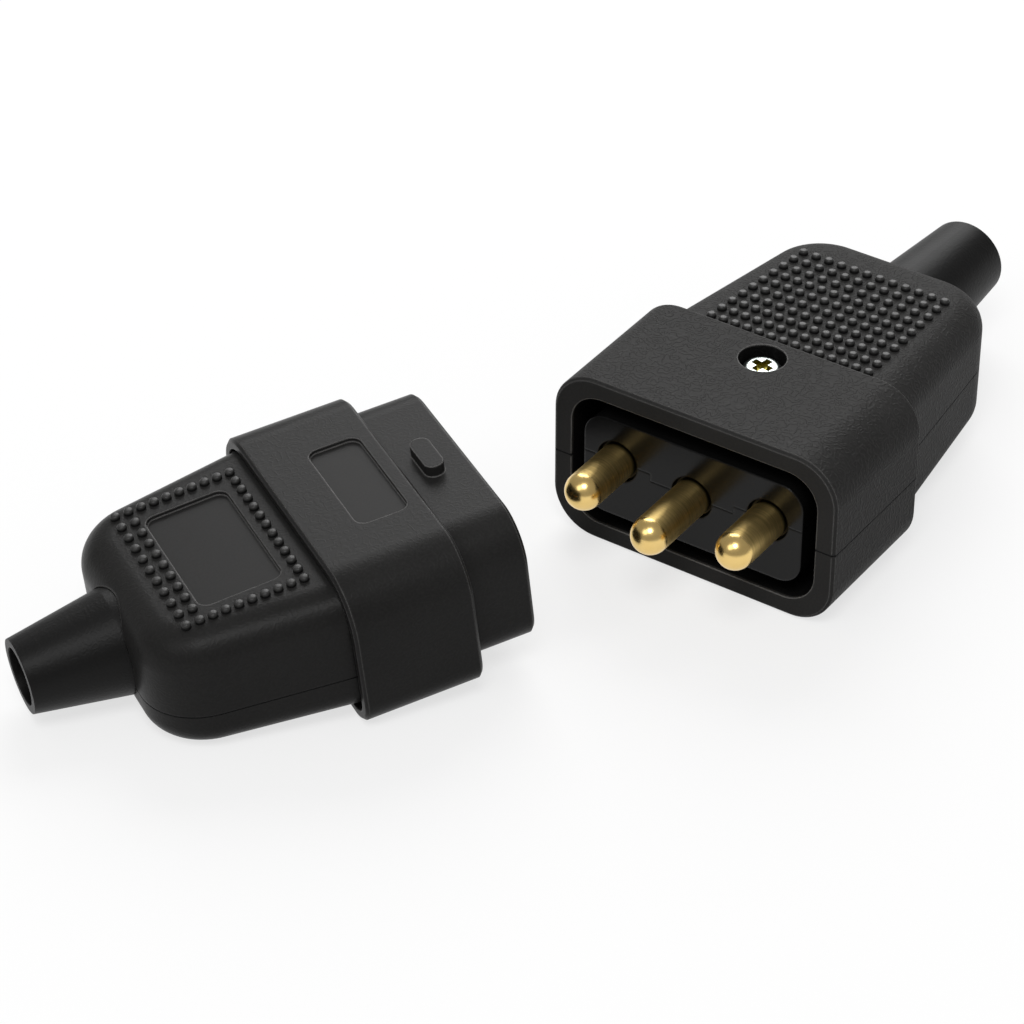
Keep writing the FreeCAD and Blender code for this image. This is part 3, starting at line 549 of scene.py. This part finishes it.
def smooth_pin(way, material):
    """Smooth turned front on the root, flange and terminal of a packed pin."""
    y, z, shank = PIN_PLACES[way]
    node = "plug_pin_" + way
    mesh = bmesh.new()
    mesh.from_mesh(nodes[node].data)
    bmesh.ops.remove_doubles(mesh, verts=mesh.verts, dist=MERGE_M)
    bmesh.ops.transform(mesh, matrix=PLUG.inverted(), verts=mesh.verts)
    bmesh.ops.bisect_plane(
        mesh, geom=everything(mesh), dist=MERGE_MM, plane_co=(PIN_ENTRY, 0, 0),
        plane_no=(-1, 0, 0), clear_outer=True,
    )
    rim = [edge for edge in mesh.edges if edge.is_boundary]
    bmesh.ops.holes_fill(mesh, edges=rim, sides=len(rim))
    for face in mesh.faces:
        face.smooth = False
    front = spun(mesh, pin_profile(shank), PIN_STEPS)
    for face in {face for vert in front for face in vert.link_faces}:
        face.smooth = True
    ahead = Matrix.Translation((0, y, z)) @ Matrix.Rotation(-math.pi / 2, 4, "Y")
    bmesh.ops.transform(mesh, matrix=ahead, verts=front)
    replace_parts(finish_piece(node + "_turned", mesh, PLUG, material), node)


pin_brass = turned_brass("pin_brass", PLUG, -PIN_PLACES["live"][2])
earth_pin_brass = turned_brass("earth_pin_brass", PLUG, -PIN_PLACES["earth"][2])
for way in PIN_PLACES:
    smooth_pin(way, earth_pin_brass if way == "earth" else pin_brass)


# Grip bumps and beads: a little domed button, its foot sunk into the shell
BUTTON_STEPS = 12
BUTTON_PROFILE = (
    (0.0, -0.25), (0.65, -0.25), (0.64, 0.36), (0.57, 0.53), (0.45, 0.62), (0.36, 0.645),
    (0.0, 0.66),
)


def buttons(places, slope):
    """One button at each (x, y, z), on a face that falls by the slope towards the cable."""
    mesh = bmesh.new()
    spun(mesh, BUTTON_PROFILE, BUTTON_STEPS)
    for face in mesh.faces:
        face.smooth = True
    model = everything(mesh)
    tilt = Matrix.Rotation(math.atan(slope), 4, "Y")
    for place in places:
        verts = verts_in(bmesh.ops.duplicate(mesh, geom=model)["geom"])
        bmesh.ops.transform(mesh, matrix=Matrix.Translation(place) @ tilt, verts=verts)
    bmesh.ops.delete(mesh, geom=verts_in(model), context="VERTS")
    return mesh


def on_top(top, x, y):
    start, height, slope = top
    return (x, y, height - slope * (x - start))


def row_across(top, x, half_width, count):
    step = 2 * half_width / (count - 1)
    return [on_top(top, x, step * i - half_width) for i in range(count)]


# Rows of bumps across the plug's grip, each a little narrower than the one before
BUMP_ROWS = (14, 14, 14, 13, 13, 13, 13, 12, 12, 12)
BUMP_START = 23.1
BUMP_PITCH = 2.42
BUMP_HALF_WIDTH = 11.8
BUMP_NARROWING = 0.11
bump_places = []
for i, count in enumerate(BUMP_ROWS):
    half_width = BUMP_HALF_WIDTH - BUMP_NARROWING * i
    bump_places += row_across(PLUG_TOP, BUMP_START + BUMP_PITCH * i, half_width, count)
finish_piece(
    "plug_grip_bumps", buttons(bump_places, PLUG_TOP[2]), PLUG, bump_black,
)

# Beads round the socket's panel: three rows across as (x, count), and two lines along its sides
BEAD_ROWS = ((18.1, 13), (31.8, 11), (33.6, 11))
BEAD_HALF_WIDTH = 12.1
BEAD_SIDE_STEPS = 8
bead_places = []
for x, count in BEAD_ROWS:
    bead_places += row_across(SOCKET_TOP, x, BEAD_HALF_WIDTH, count)
side_start, side_end = BEAD_ROWS[0][0], BEAD_ROWS[1][0]
for i in range(1, BEAD_SIDE_STEPS):
    x = side_start + (side_end - side_start) * i / BEAD_SIDE_STEPS
    bead_places += [on_top(SOCKET_TOP, x, y) for y in (BEAD_HALF_WIDTH, -BEAD_HALF_WIDTH)]
finish_piece(
    "socket_grip_beads", buttons(bead_places, SOCKET_TOP[2]), SOCKET, bead_black,
)


def cover_screw(shank_length):
    """Pan-head screw with a cross recess, its head standing on z = 0."""
    mesh = bmesh.new()
    bmesh.ops.create_grid(mesh, x_segments=3, y_segments=3, size=1.0)
    for vert in mesh.verts:
        for axis in (0, 1):
            reach = CROSS_REACH if abs(vert.co[axis]) > 0.5 else CROSS_HALF_WIDTH
            vert.co[axis] = math.copysign(reach, vert.co[axis])
        vert.co.z = SCREW_FACE
    corners = []
    for face in mesh.faces:
        if min(abs(c) for c in face.calc_center_median()[:2]) > CROSS_HALF_WIDTH:
            corners.append(face)
    bmesh.ops.delete(mesh, geom=corners, context="FACES")
    cross = mesh.faces[:]
    mouth = [edge for edge in mesh.edges if edge.is_boundary]
    sunk = verts_in(bmesh.ops.extrude_face_region(mesh, geom=cross)["geom"])
    left_over = [face for face in cross if face.is_valid]
    bmesh.ops.delete(mesh, geom=left_over, context="FACES_ONLY")
    bmesh.ops.scale(mesh, vec=(CROSS_FLOOR_SCALE, CROSS_FLOOR_SCALE, 1), verts=sunk)
    bmesh.ops.translate(mesh, vec=(0, 0, -CROSS_DEPTH), verts=sunk)

    ring = bmesh.ops.create_circle(mesh, segments=SCREW_STEPS, radius=SCREW_FACE_RADIUS)["verts"]
    bmesh.ops.translate(mesh, vec=(0, 0, SCREW_FACE), verts=ring)
    rim = list({edge for vert in ring for edge in vert.link_edges})
    bmesh.ops.bridge_loops(mesh, edges=[edge for edge in mouth if edge.is_valid] + rim)
    outline = (
        (2.0, SCREW_HEAD - 0.16), (2.25, SCREW_HEAD - 0.3), (2.5, SCREW_HEAD - 0.55),
        (SCREW_HEAD_RADIUS, SCREW_HEAD - 0.95), (SCREW_HEAD_RADIUS, 0.0),
        (SCREW_SHANK_RADIUS, 0.0), (SCREW_SHANK_RADIUS, -shank_length),
    )
    for radius, height in outline:
        grown = bmesh.ops.extrude_edge_only(mesh, edges=rim)["geom"]
        rim = edges_in(grown)
        for vert in verts_in(grown):
            flat = vert.co.xy.normalized() * radius
            vert.co = (flat.x, flat.y, height)
    bmesh.ops.holes_fill(mesh, edges=rim, sides=len(rim))
    for face in mesh.faces:
        middle = face.calc_center_median()
        face.smooth = middle.z > SCREW_HEAD - 0.9 and middle.xy.length > DOME_STARTS
    return mesh


def screw_piece(half_name, half, seat, side, shank_length):
    """Puts a cover screw on its seat, head up where the side is 1 and down where it is -1."""
    node = half_name + "_cover_screw"
    mesh = cover_screw(shank_length)
    turn = Matrix.Rotation(0.0 if side > 0 else math.pi, 4, "X")
    place = Matrix.Translation(seat) @ turn @ Matrix.Rotation(CROSS_TURN, 4, "Z")
    bmesh.ops.transform(mesh, matrix=place, verts=mesh.verts)
    face_middle = (seat[0], 0, seat[2] + side * SCREW_FACE)
    material = zinc_plate(half_name + "_screw_zinc", half, face_middle)
    piece = finish_piece(node + "_cross_head", mesh, half, material)
    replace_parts(piece, node)


screw_piece("plug", PLUG, PLUG_SCREW_SEAT, 1, PLUG_SCREW_SHANK)
screw_piece("socket", SOCKET, SOCKET_SCREW_SEAT, -1, SOCKET_SCREW_SHANK)

# Studio: lamps as (name, place, diameter, power), all aimed at the row's middle; the camera's
# place and target in millimetres from the middle of the plug's base
LAMPS = (
    ("overhead_lamp", (-0.3, -0.54, 1.07), 0.5, 5.0),
    ("rear_lamp", (0.5, 0.84, 0.72), 1.0, 10.0),
    ("left_lamp", (-0.75, -0.3, 0.8), 0.55, 1.4),
)
SURROUND_STRENGTH = 0.34
FLOOR_REACH = 1.6
FLOOR_DROP = 0.00005
FLOOR_GREY = 0.29
FLOOR_GLOW = 0.7
CAMERA_LENS = 139.73
CAMERA_FILM = 36.0
CAMERA_PLACE = (-202.31, -365.25, 307.16)
CAMERA_TARGET = (-23.71, 16.88, 0)


def aim(holder, place, target):
    """Stands a lamp or camera at a place, looking at the target."""
    holder.location = place
    holder.rotation_euler = (target - holder.location).to_track_quat("-Z", "Y").to_euler()


def studio():
    """Pale floor, plain surround, three soft lamps and the camera."""
    scene = bpy.context.scene
    world = bpy.data.worlds.new("studio_surround")
    scene.world = world
    world.use_nodes = True
    surround = Wire(world.node_tree)
    surround.tree.nodes.clear()
    inputs = {"Color": (1, 1, 1, 1), "Strength": SURROUND_STRENGTH}
    glow = surround.node("ShaderNodeBackground", None, inputs)
    surround.node("ShaderNodeOutputWorld", None, {"Surface": glow})

    mesh = bmesh.new()
    bmesh.ops.create_grid(mesh, x_segments=1, y_segments=1, size=FLOOR_REACH)
    bmesh.ops.translate(mesh, vec=(0, 0, -FLOOR_DROP), verts=mesh.verts)
    floor = put("studio_floor", as_data("studio_floor", mesh))
    paper = Finish("studio_paper")
    camera_ray = paper.node("ShaderNodeLightPath", output="Is Camera Ray")
    glossy_ray = camera_ray.other("Is Glossy Ray")
    passing_ray = camera_ray.other("Is Transmission Ray")
    shown = (camera_ray + glossy_ray + passing_ray).held()
    surface = paper.shader(
        Base_Color=grey(FLOOR_GREY), Roughness=0.9, Specular_IOR_Level=0.0,
        Emission_Color=shown.blend((0, 0, 0, 1), grey(FLOOR_GLOW)), Emission_Strength=1.0,
    )
    floor.data.materials.append(paper.done(surface))

    for name, place, diameter, power in LAMPS:
        light = bpy.data.lights.new(name, "AREA")
        light.shape = "DISK"
        light.size = diameter
        light.energy = power
        aim(put(name, light), Vector(place), Vector((0, 0, 0)))

    base = Vector(mounts["plug_base"]["pos_m"])
    camera = bpy.data.cameras.new("photo_camera")
    camera.lens = CAMERA_LENS
    camera.sensor_width = CAMERA_FILM
    scene.camera = put("photo_camera", camera)
    aim(scene.camera, base + Vector(CAMERA_PLACE) * MM, base + Vector(CAMERA_TARGET) * MM)
    scene.view_settings.view_transform = "Standard"


studio()
